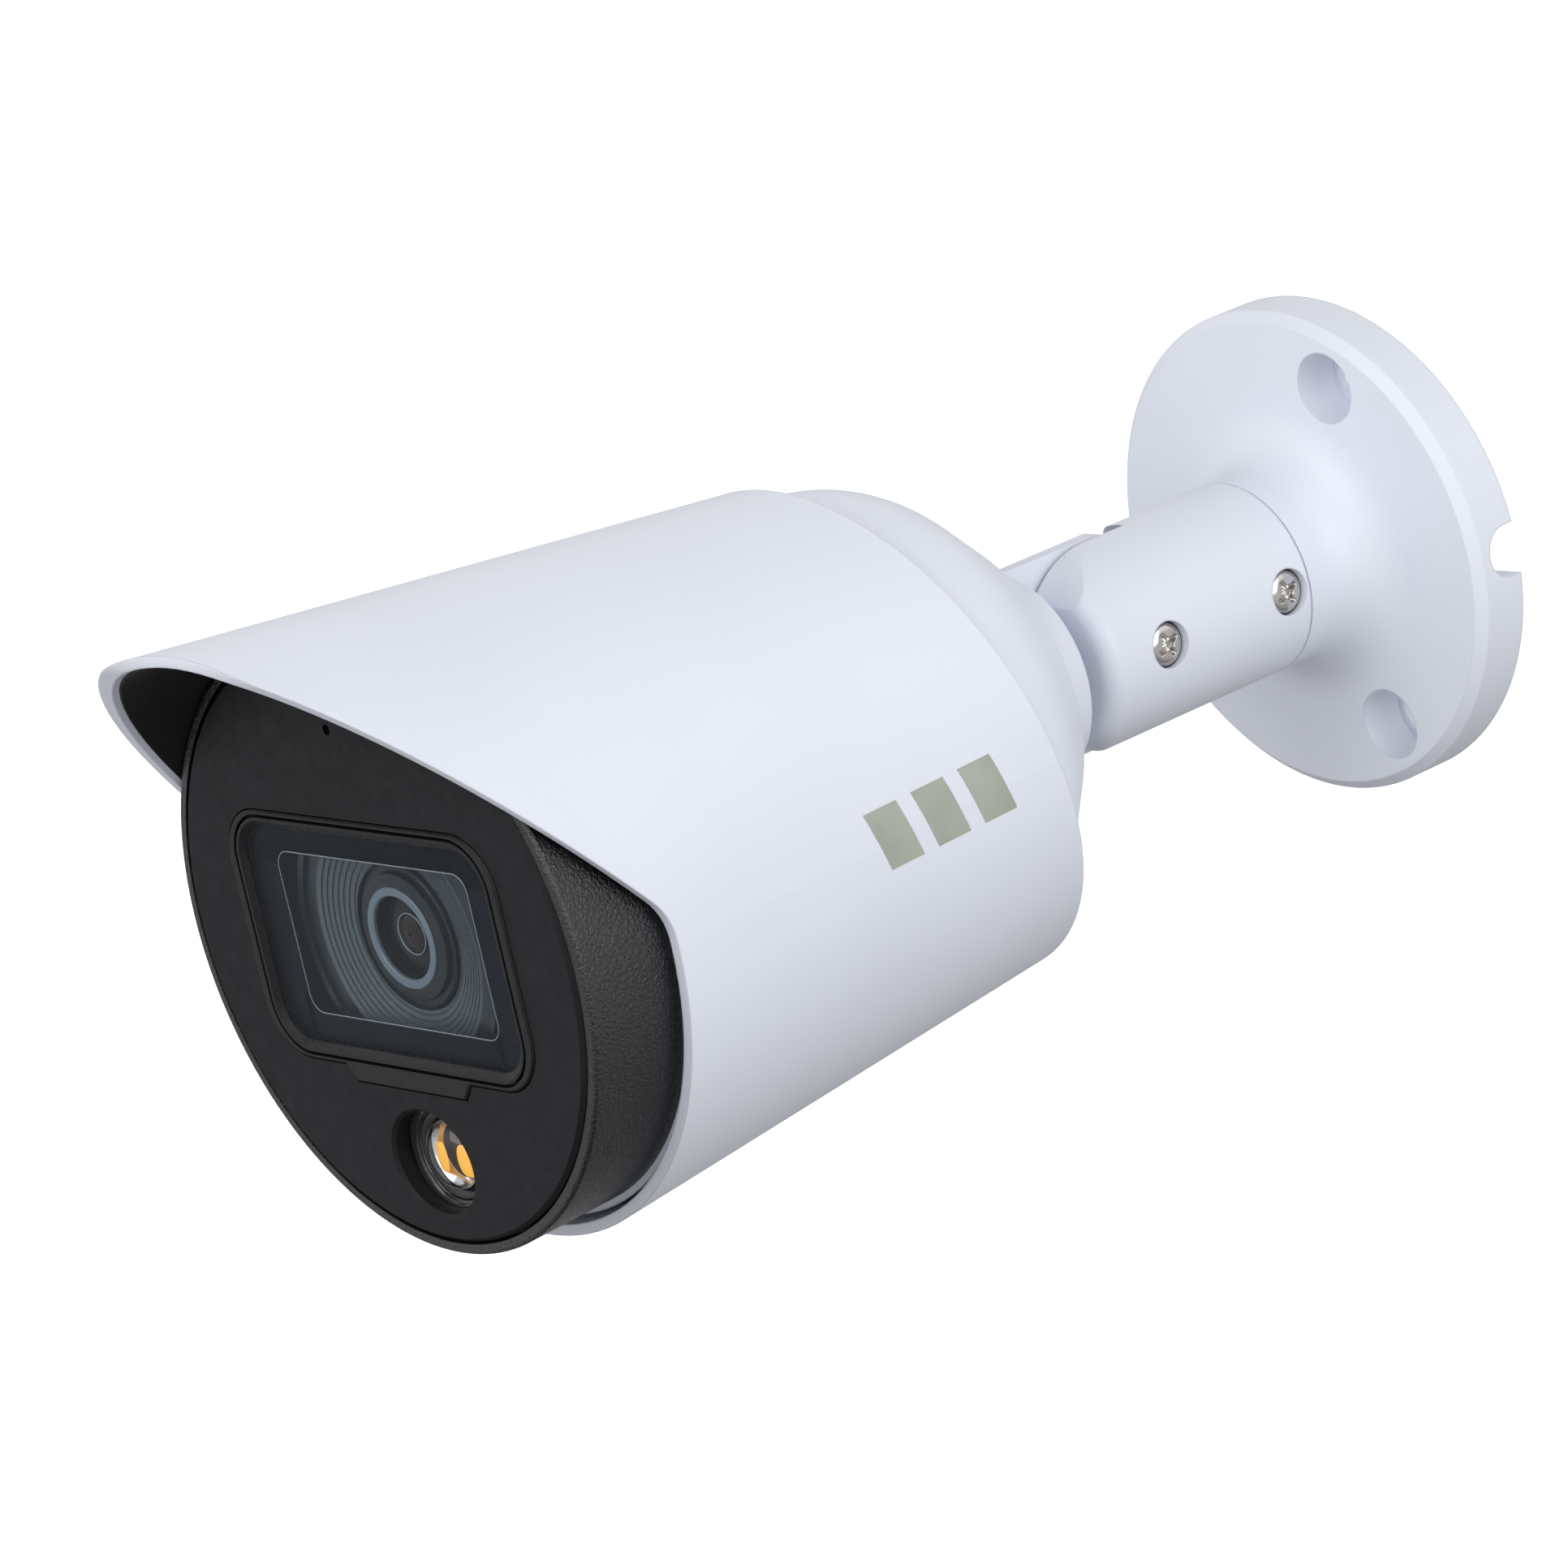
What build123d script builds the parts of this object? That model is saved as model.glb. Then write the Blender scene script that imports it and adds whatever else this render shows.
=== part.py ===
"""Bullet security camera on a three-axis wall bracket.

Frame: +Z up, the lens looks along -Y, +X is the side with the lock screws. The origin is the centre of
the bracket's wall face, so the wall is the plane Y = 0 and a "reach" is a distance in front of the wall.
Everything is in millimetres.

Bodies: mount_base (fixed), the arm that pans on it, the knuckle that tilts on the arm, and the camera
head that rolls in the knuckle's collar.
"""
from build123d import *
import os
from math import cos, radians, sin, sqrt

# ---------------------------------------------------------------- driving dimensions
# wall base
base_r = 32.0            # radius of the base disc
base_rim = 6.2           # straight part of the rim
base_chamfer = 1.3       # bevel between rim and front face
boss_len = 10.4          # from the front face to the seam with the arm
boss_blend = 7.0         # concave fillet from the face up to the boss
hole_inset = 7.2         # fixing holes' centres, in from the rim
hole_angle = 26.4        # degrees of two of them from the vertical, towards +X
sink_r = 4.6             # their counterbore
seat_r = 3.95            # through hole behind the counterbore
seat_t = 1.0             # web that the screw head clamps
notch_w = 6.6            # cable notch in the rim
notch_depth = 4.9

# arm and its pan joint
arm_r = 12.7
seam_gap = 0.2
arm_wall = 3.8           # round the spigot
spigot_len = 8.6
spigot_wall = 2.9        # round the cable bore
spigot_fit = 0.08        # radial running clearance of both spigots
spigot_room = 0.4        # left beyond a spigot's tip
arm_web = 0.9            # between the spigot's bore and the room for the ear
arm_duct_r = 4.2         # cable way through that web
lock_groove = 1.0        # depth of the grooves that the lock screws enter
pan_screw_in = 3.4       # from the seam

# tilt joint
ear_proud = 0.3          # the ear stands this far outside the arm
relief_gap = 1.4         # clearance round the ear's end
neck_gap = 1.7           # from the arm's radius round the pivot to the collar
lug_setback = 2.5        # the lug's front face stops this far inside the arm's radius
lug_edge = 2.4           # rounding of its outer front edge
swing_gap = 0.4          # between the lug's lower corner and the collar as it swings by
split_gap = 0.3          # each side of the vertical split plane
insert_len = 3.8         # threaded insert in the ear
insert_wall = 0.8
washer_r = 5.2
washer_play = 0.22
slot_wall = 4.6          # ear wall outside the cable slot
slot_h = 8.0

# collar and roll joint
collar_proud = 0.8       # the collar stands this far outside the arm
collar_len = 7.9
collar_web = 2.0
collar_edge = 0.8
collar_wall = 5.1        # round the head's spigot
head_gap = 0.2           # turning gap between collar and housing
head_spigot_len = 5.6
head_spigot_wall = 3.4
roll_screw_in = 3.3      # from the housing's rear face
set_screw_r = 1.5
set_screw_sink = 1.0     # below the collar's surface

# lock screws
shank_r = 1.6
screw_head_r = 2.75
screw_head_h = 1.6
recess_r = 2.95
pan_recess = 1.95
tilt_recess = 2.05
screw_fit = 0.08
thread_slack = 0.02      # modelled gap in threaded holes
groove_play = 0.2        # each side of a lock screw in its groove
tip_play = 0.15          # between a lock screw's tip and its groove's floor

# camera head
head_len = 92.8          # from the housing's rear face to the face plate
rear_margin = 6.5        # flat rear face outside the collar
rear_edge = 5.0
shoulder_len = 12.5      # length of the rear cone
shoulder_edge = 16.0     # rounding between the cone and the shell
housing_wall = 2.4
rear_wall = 2.0          # behind the cone's wide end
gland_ledge = 0.6
gland_bore_r = 2.6
flange_t = 4.0           # solid ring at the housing's mouth
flange_slope = 3.0

# sunshade: a slightly conical sleeve, longer at the top
shade_r = 40.45          # outer radius at the face plate
shade_slope = 0.0905     # radius gained per millimetre of reach
shade_wall = 1.4
shade_gap = 0.5          # air gap to the housing
lip_back = 12.8          # lower front edge, behind the face plate
visor_overhang = 18.3    # visor's tip, in front of it
visor_low_z = 3.8        # height where the slanted edge starts
visor_tip_drop = 0.35    # it ends this far below the sleeve's radius
visor_corner = 8.0
visor_nose = 4.0
crease_back = 15.0       # rear edge at mid height, in front of the housing's rear
crease_lean = 0.245      # reach that the rear edge gains per millimetre of height
crease_across = 1.3      # bevel of the rear edge, through the wall
crease_along = 8.0       # and along the sleeve
shade_seat = 9.0         # band where the sleeve sits on the housing
liner_t = 0.25
liner_margin = 0.6       # white lip left in front of the liner
liner_low_z = 6.0
shade_screw_r = 1.5
shade_screw_in = 20.5    # from the rear edge, and
shade_screw_out = 14.5   # from the lower front edge

# front unit, carried slightly high in the sunshade
front_lift = 0.88
hood_len = 14.3
hood_front_gap = 2.75    # hood inside the sleeve's radius, at its front
hood_rear_gap = 3.85     # and at its rear
hood_rear_lift = 0.2
hood_wall = 8.0
hood_floor_t = 2.6
hood_edge = 0.5
hood_rim = 1.7           # round the face plate
hood_ledge = 1.8         # that the plate's seal rests on
seal_t = 0.6
hood_screw_r = 1.25
hood_screw_len = 3.4
hood_screw_in = 2.8      # centres, outside the hood's bore
hood_screw_angles = (30, 150, 310)
hood_screw_head_r = 2.1
hood_screw_head_h = 1.5
o_ring_r = 0.6
o_ring_in = 1.9          # centre line, inside the hood's rear edge
o_ring_room = 0.15
o_ring_squash = 0.2
plate_t = 2.4
plate_inset = 0.3        # hood rim behind the face plate's front
plate_gap = 0.35
plate_bevel = 0.5

# window
window_w = 45.8
window_h = 26.6
window_corner = 4.6
bezel_side = 2.9         # bezel's width beside the window
bezel_band = 2.1         # and above and below it
bezel_corner = 7.0
bezel_gap = 0.15
bezel_rise = 0.25
bezel_seat = 1.5
bezel_ring_w = 1.2       # raised ring round the opening
bezel_slope_w = 0.8      # its inner slope down to the glass
bezel_groove_w = 0.4
bezel_groove_t = 0.9
bezel_bevel = 0.25
tab_w = 24.0
tab_drop = 2.0
tab_chamfer = 1.6
glass_t = 0.8
glass_depth = 0.4        # glass behind the face plate's front
mask_side = 4.7          # printed border, left and right
mask_band = 3.3
mask_corner = 2.2
mask_t = 0.2

# lens
lens_depth = 3.3         # lens rim behind the face plate's front
lens_r = 9.0
lens_rim = 2.8           # from the outer edge to the bright ring
ring_w = 1.1
barrel_step = 2.0
barrel_throat = 1.5
baffle_mouth_r = 15.0
baffle_flange = 3.0      # flat border outside the mouth
baffle_lip = 0.5         # mouth behind the face plate
baffle_wall = 1.0
baffle_gap = 0.15
baffle_drop = 1.3        # baffle's throat behind the lens rim
baffle_ridges = 7
ridge_groove_w = 0.3
element_dome_r = 11.0
element_sink = 0.6       # dome behind the lens rim
element_t = 3.1

# light
led_x = 0.5
led_hole_w = 15.4
led_hole_h = 13.5
led_bevel = 0.4
led_margin = 2.25        # between the light's hole and the bezel's tab
led_lens_r = 6.2
led_depth = 2.7          # lens behind the face plate's front
led_lens_len = 5.4
led_dome_r = 10.0
led_flange_t = 1.2
led_cup_wall = 0.85
led_fit = 0.05
led_floor_t = 1.2
led_board_t = 1.4
led_ring_w = 0.35
led_ring_t = 0.4
emitter_w = 3.2
emitter_h = 1.1

# microphone
mic_margin = 11.0        # above the bezel
mic_hole_r = 0.65
mic_r = 2.0
mic_t = 1.6

# electronics
board_t = 1.6
sensor_depth = 29.3      # sensor board behind the face plate's front
sensor_board_w = 38.0
sensor_w = 11.0
sensor_h = 9.0
sensor_t = 1.6
holder_wall = 2.5
holder_h = 9.0
holder_floor = 6.0
holder_room_w = 13.0
pillar_inset = 3.5
pillar_r = 2.2
pillar_bore_r = 1.0
pillar_over = 5.0        # pillars' front ends, in front of the housing's mouth
module_plate_t = 1.2
board_screw_play = 0.05
main_board_w = 40.0
main_board_rear = 9.4    # in front of the housing's rear wall
main_board_front = 4.0   # behind the sensor board
processor_w = 12.0
processor_t = 1.4
rail_h = 6.0
rail_grip = 1.5

# ---------------------------------------------------------------- worked out from them
base_face = base_rim + base_chamfer
hole_circle = base_r - hole_inset
seam_reach = base_face + boss_len
spigot_r = arm_r - arm_wall
cable_bore_r = spigot_r - spigot_wall
spigot_end = seam_reach + spigot_len
pan_screw_reach = seam_reach + pan_screw_in

ear_r = arm_r + ear_proud
relief_r = ear_r + relief_gap
pivot_reach = spigot_end + spigot_room + arm_web + relief_r
lug_len = arm_r - lug_setback
lug_front = pivot_reach + lug_len
neck_len = arm_r + neck_gap
insert_r = shank_r + insert_wall
collar_r = arm_r + collar_proud
collar_reach = pivot_reach + neck_len
head_rear = collar_reach + collar_len
collar_front = head_rear - head_gap
head_spigot_r = collar_r - collar_wall
head_spigot_bore = head_spigot_r - head_spigot_wall
head_spigot_tip = head_rear - head_spigot_len
roll_screw_reach = head_rear - roll_screw_in
gland_r = head_spigot_bore + gland_ledge
rear_face_r = collar_r + rear_margin

shoulder_reach = head_rear + shoulder_len
cavity_rear = shoulder_reach + rear_wall
face_reach = head_rear + head_len
housing_front = face_reach - hood_len
crease_reach = head_rear + crease_back
shade_lip = face_reach - lip_back
visor_tip = face_reach + visor_overhang
visor_high_z = shade_r - visor_tip_drop
shade_screw_reaches = (crease_reach + shade_screw_in, shade_lip - shade_screw_out)

hood_front = face_reach - plate_inset
hood_floor = housing_front + hood_floor_t
hood_front_r = shade_r - hood_front_gap
hood_rear_r = shade_r - hood_rear_gap
hood_bore_r = hood_rear_r - hood_wall
hood_screw_circle = hood_bore_r + hood_screw_in
o_ring_circle = hood_rear_r - o_ring_in
plate_r = hood_front_r - hood_rim
ledge_reach = face_reach - plate_t
ledge_bore_r = plate_r - hood_ledge

bezel_w = window_w + 2 * bezel_side
bezel_h = window_h + 2 * bezel_band
glass_front = face_reach - glass_depth
glass_rear = glass_front - glass_t
mask_rear = glass_rear - mask_t
lens_reach = face_reach - lens_depth
ring_out_r = lens_r - lens_rim
ring_in_r = ring_out_r - ring_w
barrel_r = lens_r - barrel_step
element_rear = lens_reach - element_sink - element_t

led_z = front_lift - bezel_h / 2 - tab_drop - led_margin - led_hole_h / 2
led_rim = face_reach - led_depth
led_lens_rear = led_rim - led_lens_len
led_cup_r = led_lens_r + led_fit + led_cup_wall
led_cup_rear = led_lens_rear - led_floor_t
mic_z = front_lift + bezel_h / 2 + mic_margin

sensor_reach = face_reach - sensor_depth
pillar_end = housing_front + pillar_over
pillar_half = sensor_board_w / 2 - pillar_inset
board_near = cavity_rear + main_board_rear
board_far = sensor_reach - board_t - main_board_front


# ---------------------------------------------------------------- helpers
def at(x, reach, z):
    """A point given by its reach from the wall."""
    return Vector(x, -reach, z)


def turned(*outline):
    """Solid of revolution about the camera axis from (radius, reach) corners."""
    return revolve(make_face(Polyline(*[(r, -reach) for r, reach in outline], close=True)), Axis.Y)


def disc(radius, near, far, x=0.0, z=0.0):
    """Cylinder along Y from reach near to reach far."""
    return Plane(at(x, near, z), z_dir=(0, -1, 0)) * extrude(Circle(radius), far - near)


def taper(near_r, near, far_r, far, x, z):
    """Cone frustum along Y."""
    rear = Plane(at(x, near, z), z_dir=(0, -1, 0)) * Circle(near_r)
    front = Plane(at(x, far, z), z_dir=(0, -1, 0)) * Circle(far_r)
    return loft([rear, front], ruled=True)


def pin(radius, x0, x1, reach, z=0.0):
    """Cylinder along X."""
    return Plane(at(x0, reach, z), z_dir=(1, 0, 0)) * extrude(Circle(radius), x1 - x0)


def under_pin(radius, r0, r1, reach):
    """Cylinder pointing straight down between two radii."""
    return Plane(at(0, reach, -r0), z_dir=(0, 0, -1)) * extrude(Circle(radius), r1 - r0)


def block(x0, x1, reach0, reach1, z0, z1):
    """Box between two corners."""
    centre = at((x0 + x1) / 2, (reach0 + reach1) / 2, (z0 + z1) / 2)
    return Pos(centre) * Box(abs(x1 - x0), abs(reach1 - reach0), abs(z1 - z0))


def square_block(side, reach0, reach1, z, x=0.0):
    """Block with a square face."""
    half = side / 2
    return block(x - half, x + half, reach0, reach1, z - half, z + half)


def side_plate(outline, x0, x1):
    """Prism along X over a face drawn in (reach, height)."""
    plane = Plane(origin=(x0, 0, 0), x_dir=(0, -1, 0), z_dir=(-1, 0, 0))
    return extrude(plane * outline, -(x1 - x0))


def front_face(outline, reach, x=0.0, z=None):
    """A face drawn as seen from the front, centred on the face plate unless a place is given."""
    centre = at(x, reach, front_lift if z is None else z)
    return Plane(origin=centre, x_dir=(1, 0, 0), z_dir=(0, -1, 0)) * outline


def front_plate(outline, near, far):
    """Prism along Y over a face drawn as seen from the front."""
    return extrude(front_face(outline, near), far - near)


def rims(solid, radius, reach, tol=0.02):
    """Circular edges about the camera axis with this radius at this reach."""
    found = []
    for edge in solid.edges().filter_by(GeomType.CIRCLE):
        if abs(edge.radius - radius) < tol and abs(edge.arc_center.Y + reach) < tol:
            found.append(edge)
    return found


def shade_outer(reach):
    """Outer radius of the sunshade's cone."""
    return shade_r + shade_slope * (reach - face_reach)


def shade_inner(reach):
    """Inner radius of the sunshade in front of its seat."""
    return shade_outer(reach) - shade_wall


def housing_outer(reach):
    """Outer radius of the housing, parallel to the sunshade."""
    return shade_inner(reach) - shade_gap


def housing_inner(reach):
    """Inner radius of the housing's shell."""
    return housing_outer(reach) - housing_wall


def cross_screw(seat_x, tip_x, reach):
    """Pan-head cross-recess lock screw along X, its head's seat at seat_x."""
    top = seat_x + screw_head_h
    head = pin(screw_head_r, seat_x, top, reach)
    head = fillet(head.edges().group_by(Axis.X)[-1], screw_head_h * 0.6)
    screw = head + pin(shank_r, tip_x, seat_x, reach)
    wing = screw_head_r * 0.62
    blade = screw_head_r * 0.13
    for along, across in ((wing, blade), (blade, wing)):
        screw -= block(top - 0.9, top + 0.1, reach - along, reach + along, -across, across)
    return screw


def bolt(x, z, seat, head_r, head_h, radius, length):
    """Small socket screw along Y, driven towards the wall, its head's seat at reach seat."""
    screw = disc(head_r, seat, seat + head_h, x, z) + disc(radius, seat - length, seat, x, z)
    return screw - disc(head_r * 0.5, seat + head_h * 0.4, seat + head_h, x, z)


def lock_ring_groove(radius, screw_r, reach):
    """Ring cut round a spigot for the tip of its lock screw."""
    half = screw_r + groove_play
    return disc(radius + 1, reach - half, reach + half) - disc(radius - lock_groove, reach - 10, reach + 10)


# ---------------------------------------------------------------- wall base
def fixing_holes():
    """Centres (x, z) of the three fixing holes."""
    x = hole_circle * sin(radians(hole_angle))
    z = hole_circle * cos(radians(hole_angle))
    return [(x, z), (x, -z), (-hole_circle, 0)]


def make_mount_base():
    boss_end = seam_reach - seam_gap
    body = turned((cable_bore_r, 0), (base_r, 0), (base_r, base_rim), (base_r - base_chamfer, base_face),
                  (arm_r, base_face), (arm_r, boss_end), (spigot_r, boss_end),
                  (spigot_r, spigot_end), (cable_bore_r, spigot_end))
    body = fillet(rims(body, arm_r, base_face), boss_blend)
    body -= lock_ring_groove(spigot_r, shank_r, pan_screw_reach)
    for x, z in fixing_holes():
        body -= disc(sink_r, seat_t, base_face + boss_len, x, z)
        body -= disc(seat_r, -1, seat_t + 1, x, z)
    notch_r = notch_w / 2
    notch_in = hole_circle
    body -= block(notch_in, base_r + 1, -1, notch_depth - notch_r, -notch_r, notch_r)
    body -= pin(notch_r, notch_in, base_r + 1, notch_depth - notch_r)
    return body


# ---------------------------------------------------------------- arm
def lug_corner():
    """Radius of the lug's lower corner: its outermost point just clears the collar's rear face."""
    swing = neck_len - swing_gap
    spread = lug_len + arm_r - swing
    return spread - sqrt(spread ** 2 - lug_len ** 2 - arm_r ** 2 + swing ** 2)


def make_arm():
    corner = lug_corner()
    lug_top = sqrt(arm_r ** 2 - lug_len ** 2)
    outline = make_face([
        Polyline((seam_reach, arm_r), (seam_reach, -arm_r), (lug_front - corner, -arm_r)),
        RadiusArc((lug_front - corner, -arm_r), (lug_front, corner - arm_r), -corner),
        Line((lug_front, corner - arm_r), (lug_front, lug_top)),
        RadiusArc((lug_front, lug_top), (pivot_reach, arm_r), -arm_r),
        Line((pivot_reach, arm_r), (seam_reach, arm_r)),
    ])
    near_half = disc(arm_r, seam_reach, lug_front) & side_plate(outline, split_gap, arm_r + 1)
    front_arc = [e for e in near_half.edges().filter_by(GeomType.CIRCLE)
                 if abs(e.radius - arm_r) < 0.02 and abs(e.center().Y + lug_front) < 0.02]
    near_half = fillet(front_arc, lug_edge)
    arm = near_half + far_half()
    arm -= disc(spigot_r + spigot_fit, seam_reach - 1, spigot_end + spigot_room)
    arm -= disc(arm_duct_r, spigot_end, pivot_reach, -arm_duct_r - 2 * split_gap)
    arm -= pin(shank_r + screw_fit, 0, arm_r, pivot_reach)
    arm -= pin(recess_r, arm_r - tilt_recess, arm_r + 1, pivot_reach)
    arm -= pin(shank_r + thread_slack, spigot_r, arm_r, pan_screw_reach)
    arm -= pin(recess_r, arm_r - pan_recess, arm_r + 1, pan_screw_reach)
    return arm


def far_half():
    """Half of the arm behind the ear, cut away where the ear turns."""
    half = disc(arm_r, seam_reach, pivot_reach) & block(-arm_r, split_gap, seam_reach, pivot_reach,
                                                        -arm_r, arm_r)
    half -= pin(relief_r, -arm_r - 1, split_gap, pivot_reach)
    return half - block(-arm_r - 1, split_gap, pivot_reach - relief_r, pivot_reach, -arm_r - 1, 0)


def make_pan_lock_screw():
    return cross_screw(arm_r - pan_recess, spigot_r - lock_groove + tip_play, pan_screw_reach)


# ---------------------------------------------------------------- knuckle
def make_knuckle():
    outline = make_face([
        Line((collar_reach, ear_r), (collar_reach, -ear_r)),
        Line((collar_reach, -ear_r), (pivot_reach, -ear_r)),
        RadiusArc((pivot_reach, -ear_r), (pivot_reach, ear_r), ear_r),
        Line((pivot_reach, ear_r), (collar_reach, ear_r)),
    ])
    ear = disc(ear_r, pivot_reach - ear_r, collar_reach) & side_plate(outline, -ear_r - 1, -split_gap)
    collar = disc(collar_r, collar_reach, collar_front)
    collar = fillet(rims(collar, collar_r, collar_reach), collar_edge)
    knuckle = collar + ear
    knuckle -= disc(head_spigot_r + spigot_fit, collar_reach + collar_web, collar_front + 1)
    insert_x = -split_gap - insert_len
    knuckle -= block(slot_wall - ear_r, insert_x - split_gap, pivot_reach - ear_r - 1,
                     collar_reach + collar_web + 1, -slot_h / 2, slot_h / 2)
    knuckle -= pin(insert_r, insert_x, 0, pivot_reach)
    knuckle -= pin(set_screw_r + thread_slack, head_spigot_r, collar_r + 1, roll_screw_reach)
    return knuckle


def make_tilt_insert():
    insert_x = -split_gap - insert_len
    return pin(insert_r, insert_x, -split_gap, pivot_reach) - pin(shank_r, insert_x - 1, 0, pivot_reach)


def make_tilt_screw():
    return cross_screw(arm_r - tilt_recess, groove_play - split_gap - insert_len, pivot_reach)


def make_tilt_washer():
    disc_x = (-split_gap, split_gap - washer_play)
    return pin(washer_r, *disc_x, pivot_reach) - pin(shank_r + screw_fit, -1, 1, pivot_reach)


def make_roll_lock_screw():
    """Set screw with a hexagon socket."""
    top = collar_r - set_screw_sink
    screw = pin(set_screw_r, head_spigot_r - lock_groove + tip_play, top, roll_screw_reach)
    socket = extrude(RegularPolygon(set_screw_r * 0.57, 6), set_screw_r)
    return screw - Plane(at(top - 1.2, roll_screw_reach, 0), z_dir=(1, 0, 0)) * socket


# ---------------------------------------------------------------- camera head: shells
def hood_screw_places():
    """Three screws on a circle, clear of the light below and the microphone above."""
    return [(hood_screw_circle * cos(radians(a)), hood_screw_circle * sin(radians(a)))
            for a in hood_screw_angles]


def housing_space():
    """The room inside the housing's cone."""
    near = cavity_rear + 2 * rear_wall
    far = housing_front - flange_t - flange_slope
    return turned((0, near), (housing_inner(near), near), (housing_inner(far), far), (0, far))


def make_housing():
    shoulder_r = housing_outer(shoulder_reach)
    outer = turned((0, head_rear), (rear_face_r, head_rear), (shoulder_r, shoulder_reach),
                   (housing_outer(housing_front), housing_front), (0, housing_front))
    outer = fillet(rims(outer, shoulder_r, shoulder_reach), shoulder_edge)
    outer = fillet(rims(outer, rear_face_r, head_rear), rear_edge)
    bend = cavity_rear + 2 * rear_wall
    mouth = housing_front - flange_t
    cavity = turned((0, cavity_rear), (housing_inner(cavity_rear) - rear_wall, cavity_rear),
                    (housing_inner(bend), bend), (housing_inner(mouth - flange_slope), mouth - flange_slope),
                    (hood_bore_r, mouth), (hood_bore_r, housing_front + 1), (0, housing_front + 1))
    body = outer - cavity + disc(head_spigot_r, head_spigot_tip, head_rear + rear_wall)
    body -= disc(head_spigot_bore, head_spigot_tip - 1, head_rear + 1)
    body -= disc(gland_r, head_rear, cavity_rear + 1)
    body -= lock_ring_groove(head_spigot_r, set_screw_r, roll_screw_reach)
    for x, z in hood_screw_places():
        body -= disc(hood_screw_r, housing_front - hood_screw_len, housing_front + 1, x, z)
    for reach in shade_screw_reaches:
        body -= under_pin(shade_screw_r, housing_inner(reach) - 1, shade_outer(reach) + 1, reach)
    return body


def shade_outline(margin=0.0):
    """Side view of what is kept of the sleeve, in (reach, height), its front edge set back by margin."""
    tall = shade_outer(visor_tip) + 5
    lip = shade_lip - margin
    tip = visor_tip - margin
    low = visor_low_z + margin / 2
    high = visor_high_z + margin / 2
    rear = crease_reach
    face = make_face(Polyline((rear - crease_lean * tall, -tall), (lip, -tall), (lip, low), (tip, high),
                              (tip, tall), (rear + crease_lean * tall, tall), close=True))
    inner = [v for v in face.vertices() if abs(v.X - lip) < 0.01 and v.Y > 0]
    face = fillet(inner, visor_corner)
    nose = [v for v in face.vertices() if abs(v.X - tip) < 0.01 and v.Y < tall - 1]
    return fillet(nose, visor_nose)


def make_sunshade():
    far = visor_tip + 4
    near = crease_reach - crease_lean * shade_r - 4
    cone = turned((0, near), (shade_outer(near), near), (shade_outer(far), far), (0, far))
    sleeve = cone & side_plate(shade_outline(), -shade_r - 10, shade_r + 10)
    mid = (crease_reach + shade_lip) / 2
    rear_edges = [e for e in sleeve.edges() if near + 1 < -e.center().Y < mid - 10]
    sleeve = chamfer(rear_edges, crease_across, crease_along)
    seat_end = crease_reach + crease_lean * shade_r + shade_seat
    sleeve -= turned((0, near - 1), (housing_outer(near - 1), near - 1), (housing_outer(seat_end), seat_end),
                     (shade_inner(seat_end + 1), seat_end + 1), (shade_inner(far + 1), far + 1), (0, far + 1))
    for reach in shade_screw_reaches:
        sleeve -= under_pin(shade_screw_r, shade_outer(reach) - 6, shade_outer(reach) + 1, reach)
    return sleeve


def make_shade_screws():
    """Flat screws from below, through the sleeve into the housing's wall."""
    screws = []
    for reach in shade_screw_reaches:
        top = shade_outer(reach) - 0.3
        screw = under_pin(shade_screw_r, housing_inner(reach), top, reach)
        screws.append(screw - under_pin(shade_screw_r * 0.47, top - 1, top, reach))
    return Compound(screws)


def make_visor_liner():
    """Thin black lining of the visor's inner face, above the slanted edge."""
    near = shade_lip - 6
    outer = turned((0, near), (shade_inner(near), near), (shade_inner(visor_tip), visor_tip), (0, visor_tip))
    inner = turned((0, near - 1), (shade_inner(near - 1) - liner_t, near - 1),
                   (shade_inner(visor_tip + 1) - liner_t, visor_tip + 1), (0, visor_tip + 1))
    half = shade_r + 10
    upper = side_plate(shade_outline(liner_margin), -half, half)
    return (outer - inner) & upper & block(-half, half, near, visor_tip, liner_low_z, half)


# ---------------------------------------------------------------- camera head: front unit
def o_ring_groove():
    """Rectangular groove in the hood's rear face."""
    half = o_ring_r + o_ring_room
    far = housing_front + 2 * o_ring_r - o_ring_squash
    return (disc(o_ring_circle + half, housing_front - 1, far)
            - disc(o_ring_circle - half, housing_front - 2, far + 1))


def make_front_hood():
    hood = loft([Plane(at(0, housing_front, hood_rear_lift), z_dir=(0, -1, 0)) * Circle(hood_rear_r),
                 Plane(at(0, hood_front, front_lift), z_dir=(0, -1, 0)) * Circle(hood_front_r)], ruled=True)
    hood = fillet(hood.edges().group_by(Axis.Y)[0], hood_edge)
    hood -= disc(plate_r + plate_gap, ledge_reach - seal_t, hood_front + 1, 0, front_lift)
    hood -= disc(ledge_bore_r, hood_floor, hood_front, 0, front_lift)
    hood -= disc(hood_bore_r, housing_front - 1, hood_floor + 1)
    for x, z in hood_screw_places():
        hood -= disc(hood_screw_r + o_ring_room, housing_front - 1, hood_floor + 1, x, z)
    return hood - o_ring_groove()


def make_hood_o_ring():
    centre = housing_front + o_ring_r - o_ring_squash
    ring = revolve(Pos(o_ring_circle, -centre) * Circle(o_ring_r), Axis.Y)
    return ring & disc(o_ring_circle + 2, housing_front, housing_front + 2 * o_ring_r)


def make_hood_screws():
    length = hood_screw_len + hood_floor_t - groove_play
    return Compound([bolt(x, z, hood_floor, hood_screw_head_r, hood_screw_head_h, hood_screw_r, length)
                     for x, z in hood_screw_places()])


def make_plate_seal():
    near = ledge_reach - seal_t
    ring = disc(plate_r, near, ledge_reach, 0, front_lift)
    return ring - disc(ledge_bore_r, near - 1, face_reach, 0, front_lift)


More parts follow.
